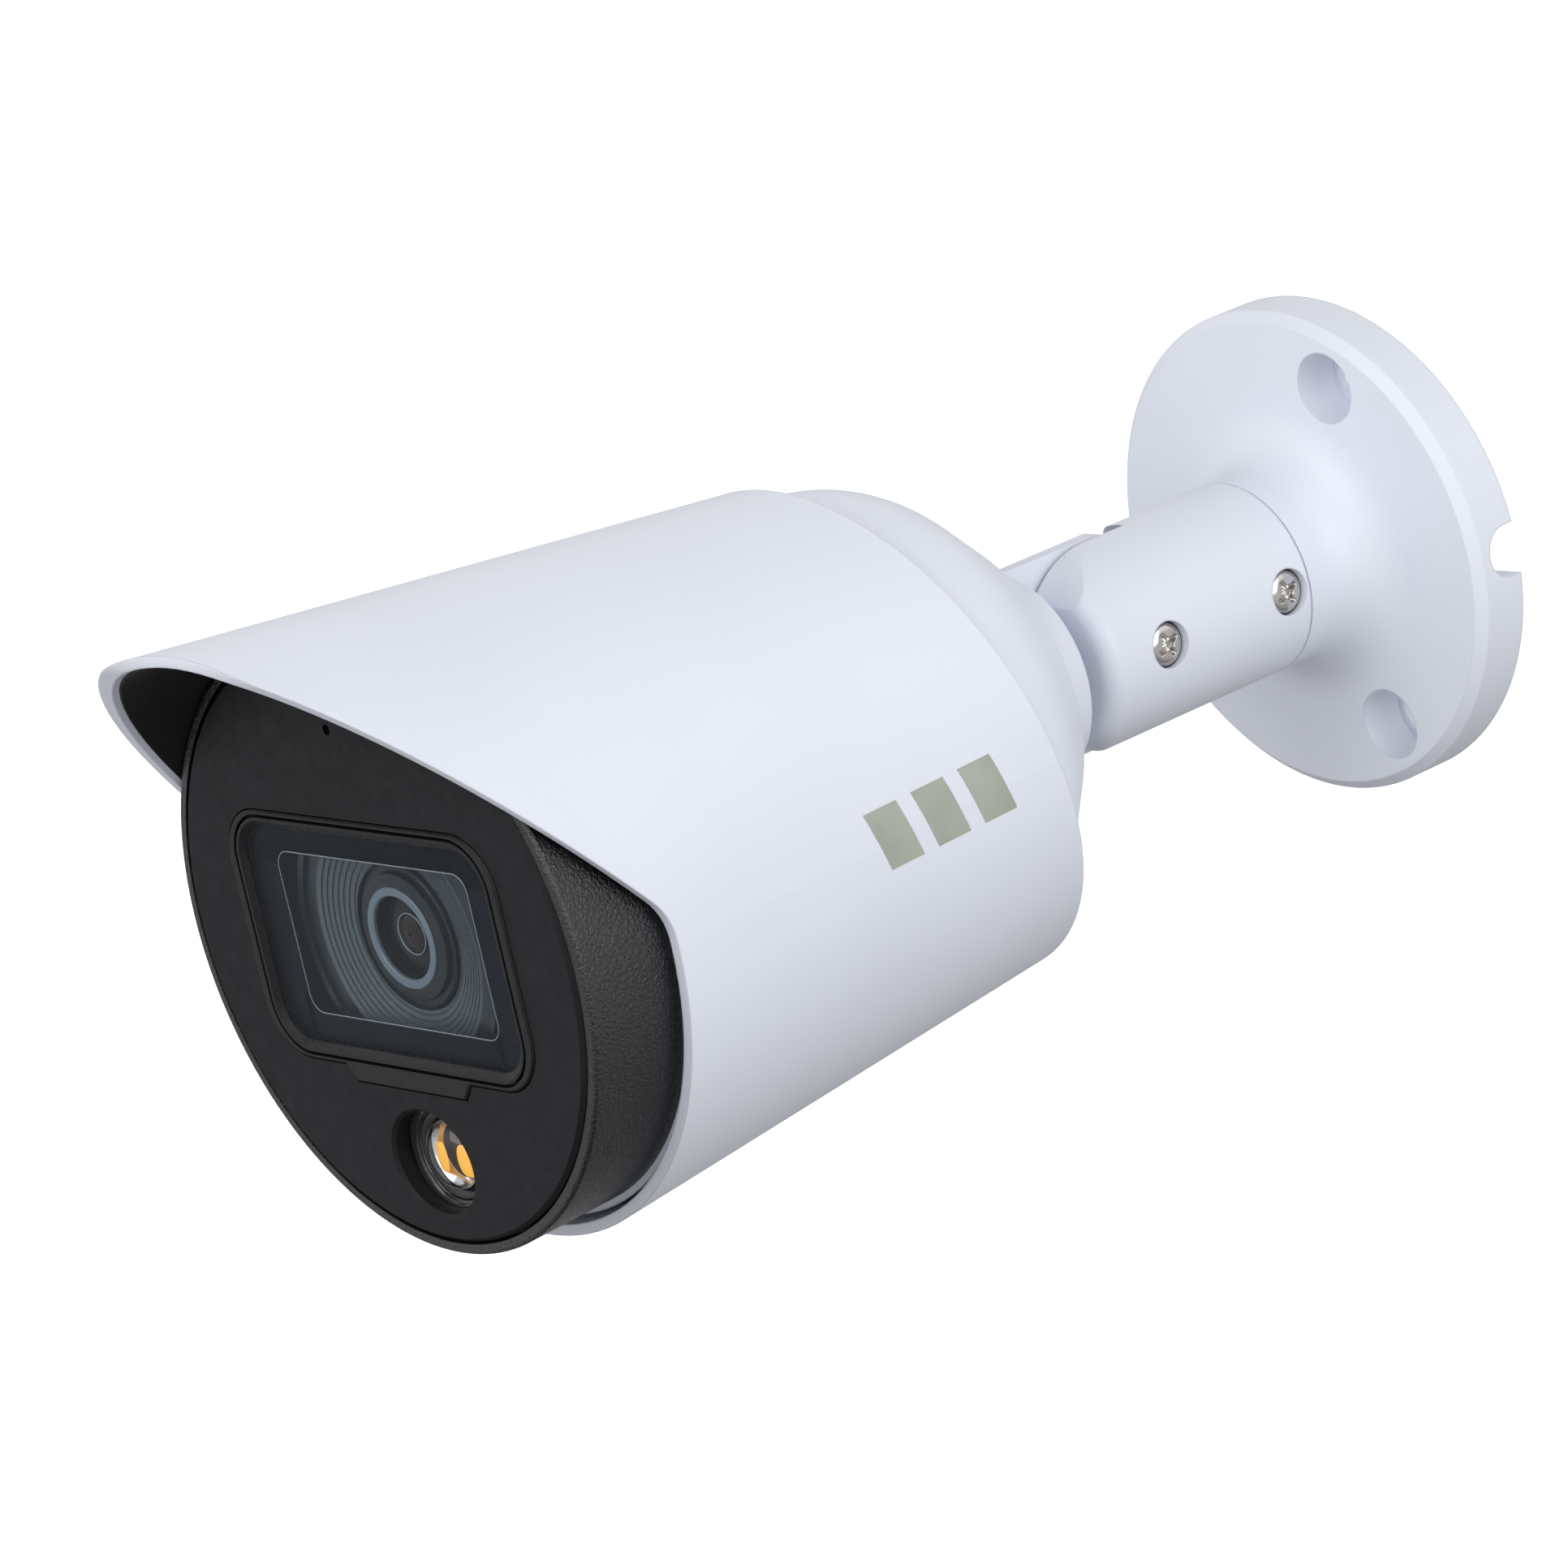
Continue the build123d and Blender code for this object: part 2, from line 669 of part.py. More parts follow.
def window_outline(grow=0.0):
    return RectangleRounded(window_w + 2 * grow, window_h + 2 * grow, window_corner + grow)


def bezel_outline(grow=0.0):
    """Rounded rectangle with the tab on its lower edge."""
    frame = RectangleRounded(bezel_w + 2 * grow, bezel_h + 2 * grow, bezel_corner + grow)
    low = -bezel_h / 2
    half = tab_w / 2 + grow
    foot = low - tab_drop - grow
    tab = make_face(Polyline((-half, low + 1), (-half, low), (-half + tab_chamfer, foot),
                             (half - tab_chamfer, foot), (half, low), (half, low + 1), close=True))
    return frame + tab


def make_face_plate():
    plate = disc(plate_r, ledge_reach, face_reach, 0, front_lift)
    plate = chamfer(plate.edges().group_by(Axis.Y)[0], plate_bevel)
    plate -= front_plate(bezel_outline(bezel_gap), face_reach - bezel_seat, face_reach + 1)
    plate -= front_plate(window_outline(), ledge_reach - 1, face_reach + 1)
    bore = Ellipse(led_hole_w / 2 - led_bevel, led_hole_h / 2 - led_bevel)
    mouth = Ellipse(led_hole_w / 2, led_hole_h / 2)
    plate -= extrude(front_face(bore, ledge_reach - 1, led_x, led_z), plate_t + 2)
    plate -= loft([front_face(bore, face_reach - led_bevel, led_x, led_z),
                   front_face(mouth, face_reach, led_x, led_z)], ruled=True)
    return plate - disc(mic_hole_r, ledge_reach - 1, face_reach + 1, 0, mic_z)


def make_window_bezel():
    near = face_reach - bezel_seat
    crest = face_reach + bezel_rise
    frame = front_plate(bezel_outline(), near, crest)
    frame = chamfer(frame.edges().group_by(Axis.Y)[0], bezel_bevel)
    groove = window_outline(bezel_ring_w + bezel_groove_w) - window_outline(bezel_ring_w)
    frame -= front_plate(groove, crest - bezel_groove_t, crest + 1)
    slope = loft([front_face(window_outline(), glass_front),
                  front_face(window_outline(bezel_slope_w), crest)], ruled=True)
    return frame - slope - front_plate(window_outline(), near - 1, face_reach + 1)


def make_window_glass():
    return front_plate(window_outline(), glass_rear, glass_front)


def make_window_mask():
    """Black border printed on the inner face of the glass."""
    clear = RectangleRounded(window_w - 2 * mask_side, window_h - 2 * mask_band, mask_corner)
    return front_plate(window_outline() - clear, mask_rear, glass_rear)


# ---------------------------------------------------------------- lens and sensor
def make_lens_baffle():
    """Shallow cone from the window down to the lens, with ridges."""
    throat = lens_reach - baffle_drop
    mouth = ledge_reach - baffle_lip
    bore = lens_r + baffle_gap
    rim = min(baffle_mouth_r + baffle_flange, front_lift - led_z - led_cup_r - baffle_gap)
    cone = turned((bore, throat), (bore, throat - baffle_wall), (rim, mouth - baffle_wall),
                  (rim, ledge_reach), (rim - baffle_wall, ledge_reach), (rim - baffle_wall, mouth),
                  (baffle_mouth_r, mouth))
    half = ridge_groove_w / 2
    for i in range(baffle_ridges):
        share = (i + 1) / (baffle_ridges + 1)
        radius = lens_r + share * (baffle_mouth_r - lens_r)
        floor = throat + share * (mouth - throat) - half
        ridge = disc(radius - half, floor - 1, mouth + 3)
        cone -= disc(radius + half, floor, mouth + 2) - ridge
    return Pos(0, 0, front_lift) * cone


def make_lens_barrel():
    tail = sensor_reach + holder_floor
    throat = ring_in_r - barrel_throat
    barrel = turned((ring_in_r, lens_reach - 0.5), (ring_out_r, lens_reach - 0.5),
                    (ring_out_r, lens_reach - 0.2), (lens_r - 1.3, lens_reach - 0.45),
                    (lens_r - 1.1, lens_reach - 1.1), (lens_r - 0.4, lens_reach - 1.1),
                    (lens_r - 0.25, lens_reach - 0.65), (lens_r, lens_reach - 0.8),
                    (lens_r, lens_reach - 4.5),
                    (barrel_r, lens_reach - 5.5), (barrel_r, tail), (throat, tail),
                    (throat, element_rear), (ring_in_r, element_rear))
    return Pos(0, 0, front_lift) * barrel


def make_lens_ring():
    """Bright retaining ring round the front element."""
    ring = turned((ring_in_r, lens_reach - 0.5), (ring_in_r, lens_reach - 0.15),
                  (ring_in_r + 0.15, lens_reach), (ring_out_r - 0.1, lens_reach),
                  (ring_out_r, lens_reach - 0.1), (ring_out_r, lens_reach - 0.5))
    return Pos(0, 0, front_lift) * ring


def make_lens_element():
    """Front element: a cylinder with a domed face."""
    crown = lens_reach - element_sink
    depth = element_dome_r - sqrt(element_dome_r ** 2 - ring_in_r ** 2)
    ball = Pos(at(0, crown - element_dome_r, front_lift)) * Sphere(element_dome_r)
    rod = disc(ring_in_r, element_rear, crown, 0, front_lift)
    return rod & (ball + disc(ring_in_r, element_rear, crown - depth, 0, front_lift))


def make_lens_holder():
    side = 2 * (barrel_r + holder_wall)
    holder = square_block(side, sensor_reach, sensor_reach + holder_h, front_lift)
    holder -= disc(barrel_r, sensor_reach + holder_floor, sensor_reach + holder_h + 1, 0, front_lift)
    return holder - square_block(holder_room_w, sensor_reach - 1, sensor_reach + holder_floor, front_lift)


def make_image_sensor():
    return block(-sensor_w / 2, sensor_w / 2, sensor_reach, sensor_reach + sensor_t,
                 front_lift - sensor_h / 2, front_lift + sensor_h / 2)


def pillar_places():
    return [(x, front_lift + z) for x in (-pillar_half, pillar_half) for z in (-pillar_half, pillar_half)]


def make_sensor_board():
    board = square_block(sensor_board_w, sensor_reach - board_t, sensor_reach, front_lift)
    for x, z in pillar_places():
        board -= disc(pillar_bore_r, sensor_reach - 4, sensor_reach + 1, x, z)
    return board


def make_module_pillars():
    """Spacers between the sensor board and the module plate."""
    return Compound([disc(pillar_r, sensor_reach, pillar_end, x, z)
                     - disc(pillar_bore_r, sensor_reach - 1, sensor_reach + 6, x, z)
                     for x, z in pillar_places()])


def make_module_plate():
    """Ring plate that carries the pillars and closes the rear of the front unit."""
    near = pillar_end
    far = pillar_end + module_plate_t
    plate = disc(ledge_bore_r, near, far, 0, front_lift)
    plate -= disc(lens_r + 2 * baffle_gap, near - 1, far + 1, 0, front_lift)
    return plate - disc(led_cup_r + baffle_gap, near - 1, far + 1, led_x, led_z)


def make_board_screws():
    seat = sensor_reach - board_t
    screws = []
    for x, z in pillar_places():
        head = disc(pillar_r - 0.3, seat - 1.2, seat, x, z)
        screws.append(head + disc(pillar_bore_r - board_screw_play, seat, sensor_reach + 5, x, z))
    return Compound(screws)


def make_main_board():
    """Power and processor board along the housing, behind the sensor board."""
    half = main_board_w / 2
    return block(-half, half, board_near, board_far, -board_t / 2, board_t / 2)


def make_processor():
    middle = (board_near + board_far) / 2
    half = processor_w / 2
    return block(-half, half, middle - half, middle + half, board_t / 2, board_t / 2 + processor_t)


def make_board_rails():
    """Two slotted rails on the housing's wall that hold the main board."""
    near = max(board_near + 2, cavity_rear + 2 * rear_wall)
    far = board_far - 1
    half = main_board_w / 2
    rails = []
    for side in (-1, 1):
        rail = block(side * (half - rail_grip), side * shade_r, near, far, -rail_h / 2, rail_h / 2)
        rail -= block(-half, half, near - 1, far + 5, -board_t / 2, board_t / 2)
        rails.append(rail & housing_space())
    return Compound(rails)


# ---------------------------------------------------------------- light and microphone
def make_led_holder():
    cup = disc(led_cup_r, led_cup_rear, ledge_reach, led_x, led_z)
    cup -= disc(led_lens_r + led_fit, led_lens_rear, ledge_reach + 1, led_x, led_z)
    return cup - disc(emitter_w * 0.75, led_cup_rear - 1, ledge_reach, led_x, led_z)


def make_led_lens():
    """Clear collimator: a cone with a domed face and a pocket over the emitter."""
    neck = led_rim - led_flange_t
    lens = taper(led_lens_r * 0.55, led_lens_rear, led_lens_r, neck, led_x, led_z)
    lens += disc(led_lens_r, neck, led_rim, led_x, led_z)
    sink = sqrt(led_dome_r ** 2 - (led_lens_r - led_ring_w) ** 2)
    ball = Pos(at(led_x, led_rim - sink, led_z)) * Sphere(led_dome_r)
    lens += ball & disc(led_lens_r, led_rim, led_rim + led_dome_r, led_x, led_z)
    return lens - disc(led_lens_r * 0.4, led_lens_rear - 1, led_lens_rear + 1.6, led_x, led_z)


def make_led_ring():
    """Bright trim ring in front of the collimator."""
    ring = disc(led_lens_r + led_fit, led_rim, led_rim + led_ring_t, led_x, led_z)
    return ring - disc(led_lens_r - led_ring_w + led_fit, led_rim - 1, led_rim + 1, led_x, led_z)


def make_led_emitter():
    return square_block(emitter_w, led_cup_rear, led_cup_rear + emitter_h, led_z, led_x)


def make_led_board():
    return disc(led_cup_r, led_cup_rear - led_board_t, led_cup_rear, led_x, led_z)


def make_microphone():
    return disc(mic_r, ledge_reach - mic_t, ledge_reach, 0, mic_z)


def make_cable_grommet():
    """Rubber cable entry in the housing's rear wall."""
    grommet = disc(gland_r, head_rear, cavity_rear)
    grommet += disc(gland_r + 2 * gland_ledge, cavity_rear, cavity_rear + 1.4)
    return grommet - disc(gland_bore_r, head_rear - 1, cavity_rear + 3)


parts = {
    "mount_base": make_mount_base,
    "arm": make_arm,
    "pan_lock_screw": make_pan_lock_screw,
    "knuckle": make_knuckle,
    "tilt_insert": make_tilt_insert,
    "tilt_screw": make_tilt_screw,
    "tilt_washer": make_tilt_washer,
    "roll_lock_screw": make_roll_lock_screw,
    "housing": make_housing,
    "sunshade": make_sunshade,
    "shade_screws": make_shade_screws,
    "visor_liner": make_visor_liner,
    "front_hood": make_front_hood,
    "hood_o_ring": make_hood_o_ring,
    "hood_screws": make_hood_screws,
    "plate_seal": make_plate_seal,
    "face_plate": make_face_plate,
    "window_bezel": make_window_bezel,
    "window_glass": make_window_glass,
    "window_mask": make_window_mask,
    "lens_baffle": make_lens_baffle,
    "lens_barrel": make_lens_barrel,
    "lens_ring": make_lens_ring,
    "lens_element": make_lens_element,
    "lens_holder": make_lens_holder,
    "image_sensor": make_image_sensor,
    "sensor_board": make_sensor_board,
    "module_pillars": make_module_pillars,
    "module_plate": make_module_plate,
    "board_screws": make_board_screws,
    "main_board": make_main_board,
    "processor": make_processor,
    "board_rails": make_board_rails,
    "led_holder": make_led_holder,
    "led_lens": make_led_lens,
    "led_ring": make_led_ring,
    "led_emitter": make_led_emitter,
    "led_board": make_led_board,
    "microphone": make_microphone,
    "cable_grommet": make_cable_grommet,
}

os.makedirs("parts", exist_ok=True)
for name, make in parts.items():
    export_step(make(), f"parts/{name}.step")
    print(name)
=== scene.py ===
"""Looks of the bullet security camera: materials, light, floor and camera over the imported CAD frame."""
import math

import bpy
from mathutils import Matrix, Vector
from mathutils.bvhtree import BVHTree


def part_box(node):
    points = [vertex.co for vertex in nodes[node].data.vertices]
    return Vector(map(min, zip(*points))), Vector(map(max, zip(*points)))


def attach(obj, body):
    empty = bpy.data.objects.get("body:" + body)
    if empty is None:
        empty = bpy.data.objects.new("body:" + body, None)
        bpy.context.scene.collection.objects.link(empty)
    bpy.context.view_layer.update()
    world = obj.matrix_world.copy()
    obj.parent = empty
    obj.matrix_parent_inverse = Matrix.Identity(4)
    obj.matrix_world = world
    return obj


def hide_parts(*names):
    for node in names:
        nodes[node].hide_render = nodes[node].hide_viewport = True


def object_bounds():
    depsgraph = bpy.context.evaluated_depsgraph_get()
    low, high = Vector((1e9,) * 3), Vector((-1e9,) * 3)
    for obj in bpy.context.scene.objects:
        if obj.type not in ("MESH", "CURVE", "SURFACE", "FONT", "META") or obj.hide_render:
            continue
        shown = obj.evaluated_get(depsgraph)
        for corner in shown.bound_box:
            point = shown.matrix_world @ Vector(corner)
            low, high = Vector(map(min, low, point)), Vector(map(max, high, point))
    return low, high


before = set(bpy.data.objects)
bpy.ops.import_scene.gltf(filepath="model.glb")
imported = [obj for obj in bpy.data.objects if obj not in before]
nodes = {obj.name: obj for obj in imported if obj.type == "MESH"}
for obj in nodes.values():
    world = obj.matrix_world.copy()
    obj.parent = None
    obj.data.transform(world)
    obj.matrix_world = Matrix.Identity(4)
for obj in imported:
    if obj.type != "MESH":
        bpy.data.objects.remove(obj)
cad_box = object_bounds()
scene = bpy.context.scene
HEAD = "camera_head"
MM = 0.001


def axis_of(node):
    """Middle of a node's box as (x, z), where its own line along Y passes."""
    low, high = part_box(node)
    return (low.x + high.x) / 2, (low.z + high.z) / 2


# ---------------------------------------------------------------- camera
VIEW_AZIMUTH = 52.777      # degrees, 0 looks along +Y
VIEW_ELEVATION = 15.06     # degrees
VIEW_ROLL = -12.55         # degrees
VIEW_DISTANCE = 0.7974
VIEW_TARGET = Vector((-0.0050, -0.0917, -0.0023))
SENSOR = 36.0              # millimetres
LENS = 151.84              # millimetres
CLIP_NEAR = 0.01
CLIP_FAR = 50


def make_camera():
    """Camera aimed at the target, rolled about its own line of sight."""
    azimuth, elevation, roll = (math.radians(v) for v in (VIEW_AZIMUTH, VIEW_ELEVATION, VIEW_ROLL))
    back = Vector((math.sin(azimuth) * math.cos(elevation), -math.cos(azimuth) * math.cos(elevation),
                   math.sin(elevation)))
    right = (-back).cross(Vector((0, 0, 1))).normalized()
    up = right.cross(-back)
    turned_right = math.cos(roll) * right + math.sin(roll) * up
    turned_up = -math.sin(roll) * right + math.cos(roll) * up
    data = bpy.data.cameras.new("view")
    data.sensor_width = SENSOR
    data.lens = LENS
    data.clip_start = CLIP_NEAR
    data.clip_end = CLIP_FAR
    camera = bpy.data.objects.new("view", data)
    scene.collection.objects.link(camera)
    rotation = Matrix((turned_right, turned_up, back)).transposed().to_4x4()
    camera.matrix_world = Matrix.Translation(VIEW_TARGET + back * VIEW_DISTANCE) @ rotation
    scene.camera = camera


make_camera()


# ---------------------------------------------------------------- material helpers
class Surface:
    """A Principled material and short ways to drive its sockets from procedural textures."""

    def __init__(self, name, colour, roughness, **sockets):
        self.material = bpy.data.materials.new(name)
        self.material.use_nodes = True
        self.tree = self.material.node_tree
        self.shader = self.tree.nodes["Principled BSDF"]
        self.shader.inputs["Base Color"].default_value = (*colour, 1)
        self.shader.inputs["Roughness"].default_value = roughness
        for socket, value in sockets.items():
            self.shader.inputs[socket.replace("_", " ")].default_value = value
        self.place = self.tree.nodes.new("ShaderNodeTexCoord").outputs["Object"]

    def link(self, source, target):
        self.tree.links.new(source, target)

    def noise(self, size, detail, rough=0.55, distortion=0.0):
        """Noise whose features are about size metres across."""
        node = self.tree.nodes.new("ShaderNodeTexNoise")
        node.inputs["Scale"].default_value = 1 / size
        node.inputs["Detail"].default_value = detail
        node.inputs["Roughness"].default_value = rough
        node.inputs["Distortion"].default_value = distortion
        self.link(self.place, node.inputs["Vector"])
        return node.outputs["Fac"]

    def cells(self, size, randomness=1.0):
        """Distance to the edge of cells about size metres across."""
        node = self.tree.nodes.new("ShaderNodeTexVoronoi")
        node.feature = "DISTANCE_TO_EDGE"
        node.inputs["Scale"].default_value = 1 / size
        node.inputs["Randomness"].default_value = randomness
        self.link(self.place, node.inputs["Vector"])
        return node.outputs["Distance"]

    def span(self, value, low, high, to_low, to_high):
        """Value mapped from one range to another, held at its ends."""
        node = self.tree.nodes.new("ShaderNodeMapRange")
        node.inputs["From Min"].default_value = low
        node.inputs["From Max"].default_value = high
        node.inputs["To Min"].default_value = to_low
        node.inputs["To Max"].default_value = to_high
        self.link(value, node.inputs["Value"])
        return node.outputs["Result"]

    def soft_edges(self, radius):
        """Rounded look for sharp edges."""
        node = self.tree.nodes.new("ShaderNodeBevel")
        node.samples = 4
        node.inputs["Radius"].default_value = radius
        self.link(node.outputs["Normal"], self.shader.inputs["Normal"])

    def from_axis(self, x, z):
        """Distance from a line along Y, in metres."""
        flat = self.tree.nodes.new("ShaderNodeMapping")
        flat.inputs["Location"].default_value = (-x, 0, -z)
        flat.inputs["Scale"].default_value = (1, 0, 1)
        length = self.tree.nodes.new("ShaderNodeVectorMath")
        length.operation = "LENGTH"
        self.link(self.place, flat.inputs["Vector"])
        self.link(flat.outputs["Vector"], length.inputs[0])
        return length.outputs["Value"]

    def tones(self, value, low, high, start=0.35, end=0.65):
        """Base colour runs between two tones as value does."""
        ramp = self.tree.nodes.new("ShaderNodeValToRGB")
        ramp.color_ramp.elements[0].position = start
        ramp.color_ramp.elements[0].color = (*low, 1)
        ramp.color_ramp.elements[1].position = end
        ramp.color_ramp.elements[1].color = (*high, 1)
        self.link(value, ramp.inputs["Fac"])
        self.link(ramp.outputs["Color"], self.shader.inputs["Base Color"])

    def polish(self, value, low, high):
        """Roughness runs between two values as value does."""
        self.link(self.span(value, 0.3, 0.7, low, high), self.shader.inputs["Roughness"])

    def relief(self, value, depth):
        """Bump of this depth in metres, on top of any bump that is there."""
        bump = self.tree.nodes.new("ShaderNodeBump")
        bump.inputs["Distance"].default_value = depth
        bump.inputs["Strength"].default_value = 1.0
        self.link(value, bump.inputs["Height"])
        normal = self.shader.inputs["Normal"]
        if normal.is_linked:
            self.link(normal.links[0].from_socket, bump.inputs["Normal"])
        self.link(bump.outputs["Normal"], normal)


def tinted(colour, factor):
    return tuple(c * factor for c in colour)


def plain(name, colour, roughness, grain=0.3 * MM, depth=0.004 * MM, vary=0.08, **sockets):
    """Moulded or machined surface: fine grain, slight change of tone and polish."""
    surface = Surface(name, colour, roughness, **sockets)
    surface.tones(surface.noise(9 * MM, detail=2.0), tinted(colour, 1 - vary), tinted(colour, 1 + vary))
    surface.polish(surface.noise(2.5 * MM, detail=3.0), roughness * 0.88, min(1.0, roughness * 1.12))
    surface.relief(surface.noise(grain, detail=2.0), depth)
    return surface.material


def paint(name, colour, texture_depth):
    """Satin powder coat: orange peel, a very fine texture and a trace of unevenness in tone."""
    surface = Surface(name, colour, roughness=0.40, Specular_IOR_Level=0.45)
    surface.soft_edges(0.4 * MM)
    surface.tones(surface.noise(35 * MM, detail=2.0), tinted(colour, 0.985), tinted(colour, 1.01))
    surface.polish(surface.noise(1.2 * MM, detail=4.0), low=0.36, high=0.46)
    surface.relief(surface.noise(1.1 * MM, detail=2.0), texture_depth)
    surface.relief(surface.noise(0.28 * MM, detail=2.0, rough=0.6), texture_depth * 0.35)
    return surface.material


def leather_grain(name, colour):
    """Black plastic with a leather-like moulded grain."""
    surface = Surface(name, colour, roughness=0.34, Specular_IOR_Level=0.85)
    surface.soft_edges(0.25 * MM)
    pebbles = surface.cells(0.7 * MM)
    surface.tones(surface.noise(6 * MM, detail=3.0), tinted(colour, 0.8), tinted(colour, 1.25))
    surface.polish(surface.noise(0.8 * MM, detail=3.0), low=0.30, high=0.44)
    surface.relief(surface.span(pebbles, 0.0, 0.25, 0.0, 1.0), depth=0.045 * MM)
    surface.relief(surface.noise(0.55 * MM, detail=3.0, rough=0.65, distortion=1.0), depth=0.11 * MM)
    return surface.material


def sparkle_grain(name, colour):
    """Black plastic with a fine, sharp grain that glints."""
    surface = Surface(name, colour, roughness=0.34, Specular_IOR_Level=0.28)
    surface.soft_edges(0.2 * MM)
    surface.tones(surface.noise(0.3 * MM, detail=3.0), tinted(colour, 0.7), tinted(colour, 1.6))
    surface.polish(surface.noise(0.4 * MM, detail=3.0), low=0.28, high=0.5)
    surface.relief(surface.noise(0.3 * MM, detail=3.0, rough=0.7), depth=0.09 * MM)
    return surface.material


def metal(name, colour, roughness):
    """Polished metal with uneven polish and fine pitting."""
    surface = Surface(name, colour, roughness, Metallic=1.0)
    surface.tones(surface.noise(1.5 * MM, detail=3.0), tinted(colour, 0.9), tinted(colour, 1.06))
    surface.polish(surface.noise(0.5 * MM, detail=3.0), roughness * 0.7, roughness * 1.4)
    surface.relief(surface.noise(0.25 * MM, detail=2.0), depth=0.0015 * MM)
    return surface.material


MIRROR_TINT = (0.9, 0.95, 1.0, 1)
MIRROR_ROUGHNESS = 0.02
MIRROR_POWER = 5.0         # how late the mirror share rises towards grazing


def pane(name, clear, haze=0.0):
    """Glass seen straight through: a clear share, and a mirror share that grows at grazing."""
    surface = Surface(name, clear, MIRROR_ROUGHNESS)
    through = surface.tree.nodes.new("ShaderNodeBsdfTransparent")
    through.inputs["Color"].default_value = (*clear, 1)
    gloss = surface.tree.nodes.new("ShaderNodeBsdfGlossy")
    gloss.inputs["Color"].default_value = MIRROR_TINT
    gloss.inputs["Roughness"].default_value = MIRROR_ROUGHNESS
    facing = surface.tree.nodes.new("ShaderNodeLayerWeight")
    facing.inputs["Blend"].default_value = 0.5
    steep = surface.tree.nodes.new("ShaderNodeMath")
    steep.operation = "POWER"
    steep.inputs[1].default_value = MIRROR_POWER
    mix = surface.tree.nodes.new("ShaderNodeMixShader")
    surface.link(facing.outputs["Facing"], steep.inputs[0])
    surface.link(surface.span(steep.outputs["Value"], 0.0, 1.0, haze, 1.0), mix.inputs["Fac"])
    surface.link(through.outputs["BSDF"], mix.inputs[1])
    surface.link(gloss.outputs["BSDF"], mix.inputs[2])
    surface.link(mix.outputs["Shader"], surface.tree.nodes["Material Output"].inputs["Surface"])
    surface.tree.nodes.remove(surface.shader)
    return surface.material


def board_material(name, colour):
    """Solder mask with copper tracks showing through."""
    surface = Surface(name, colour, roughness=0.35)
    tracks = surface.cells(1.8 * MM, randomness=0.6)
    surface.tones(tracks, tinted(colour, 1.9), colour, start=0.04, end=0.09)
    surface.polish(surface.noise(1.0 * MM, detail=3.0), low=0.3, high=0.45)
    surface.relief(tracks, depth=0.02 * MM)
    return surface.material


def lens_surround(name, colour, border):
    """Turned satin cone round the lens, with a darker flat border."""
    border_r = 14.8 * MM
    border_full_r = 15.3 * MM
    turned_r = 10 * MM         # the turning marks end here
    turned_phase = 160.0       # radians of turning marks from the axis to there
    surface = Surface(name, colour, roughness=0.32, Metallic=0.35)
    reach = surface.from_axis(*axis_of("lens_baffle"))
    surface.tones(surface.span(reach, border_r, border_full_r, 0.0, 1.0), colour, border, 0.2, 0.8)
    surface.polish(surface.noise(2.5 * MM, detail=3.0), low=0.28, high=0.38)
    rings = surface.tree.nodes.new("ShaderNodeMath")
    rings.operation = "SINE"
    surface.link(surface.span(reach, 0.0, turned_r, 0.0, turned_phase), rings.inputs[0])
    surface.relief(rings.outputs["Value"], depth=0.006 * MM)
    return surface.material


# ---------------------------------------------------------------- materials
WHITE = (0.768, 0.803, 0.889)
white_casting = paint("white_casting", WHITE, 0.010 * MM)
white_shade = paint("white_shade", tinted(WHITE, 1.02), 0.008 * MM)
hood_black = leather_grain("hood_black", (0.0045, 0.0045, 0.006))
plate_black = plain("plate_black", (0.0085, 0.0088, 0.0115), 0.55, grain=0.12 * MM, depth=0.006 * MM,
                    Specular_IOR_Level=0.22)
liner_black = plain("liner_black", (0.006, 0.006, 0.007), 0.7)
bezel_black = sparkle_grain("bezel_black", (0.006, 0.006, 0.0075))
mask_black = plain("mask_black", (0.0075, 0.0095, 0.014), 0.4, grain=2 * MM, depth=0.001 * MM,
                   Specular_IOR_Level=0.12)
stainless = metal("stainless", (0.62, 0.60, 0.58), 0.12)
dark_steel = metal("dark_steel", (0.10, 0.09, 0.09), 0.35)
brass = metal("brass", (0.72, 0.52, 0.25), 0.25)
nylon = plain("nylon", (0.75, 0.74, 0.68), 0.5)
rubber = plain("rubber", (0.018, 0.018, 0.018), 0.75, grain=0.2 * MM, depth=0.02 * MM)
baffle_grey = lens_surround("baffle_grey", (0.125, 0.14, 0.155), border=(0.022, 0.028, 0.032))
barrel_black = plain("barrel_black", (0.018, 0.021, 0.026), 0.3, Metallic=0.3)
ring_grey = plain("ring_grey", (0.20, 0.235, 0.27), 0.42, grain=0.15 * MM, depth=0.002 * MM, Metallic=0.2)
holder_black = plain("holder_black", (0.02, 0.02, 0.02), 0.5)
sensor_blue = plain("sensor_blue", (0.04, 0.05, 0.10), 0.1)
board_green = board_material("board_green", (0.012, 0.07, 0.03))
chip_black = plain("chip_black", (0.02, 0.02, 0.02), 0.55)
led_white = plain("led_white", (0.75, 0.75, 0.73), 0.35)
# Emission makes the phosphor glow while the light is off: a painted glow.
phosphor = plain("phosphor", (0.95, 0.50, 0.06), 0.4, vary=0.06, Emission_Color=(1.0, 0.45, 0.05, 1),
                 Emission_Strength=0.35)
light_floor_brown = plain("light_floor_brown", (0.030, 0.020, 0.016), 0.25)
flange_black = plain("flange_black", (0.006, 0.008, 0.010), 0.12, depth=0.002 * MM)
reflector = metal("reflector", (0.90, 0.90, 0.89), 0.16)
window_pane = pane("window_pane", (0.90, 0.93, 0.95))
lens_pane = pane("lens_pane", (0.85, 0.80, 0.78))
led_clear = pane("led_clear", (0.96, 0.97, 0.98), haze=0.05)
print_grey = plain("print_grey", (0.40, 0.42, 0.36), 0.5)
print_edge = metal("print_edge", (0.35, 0.39, 0.42), 0.25)
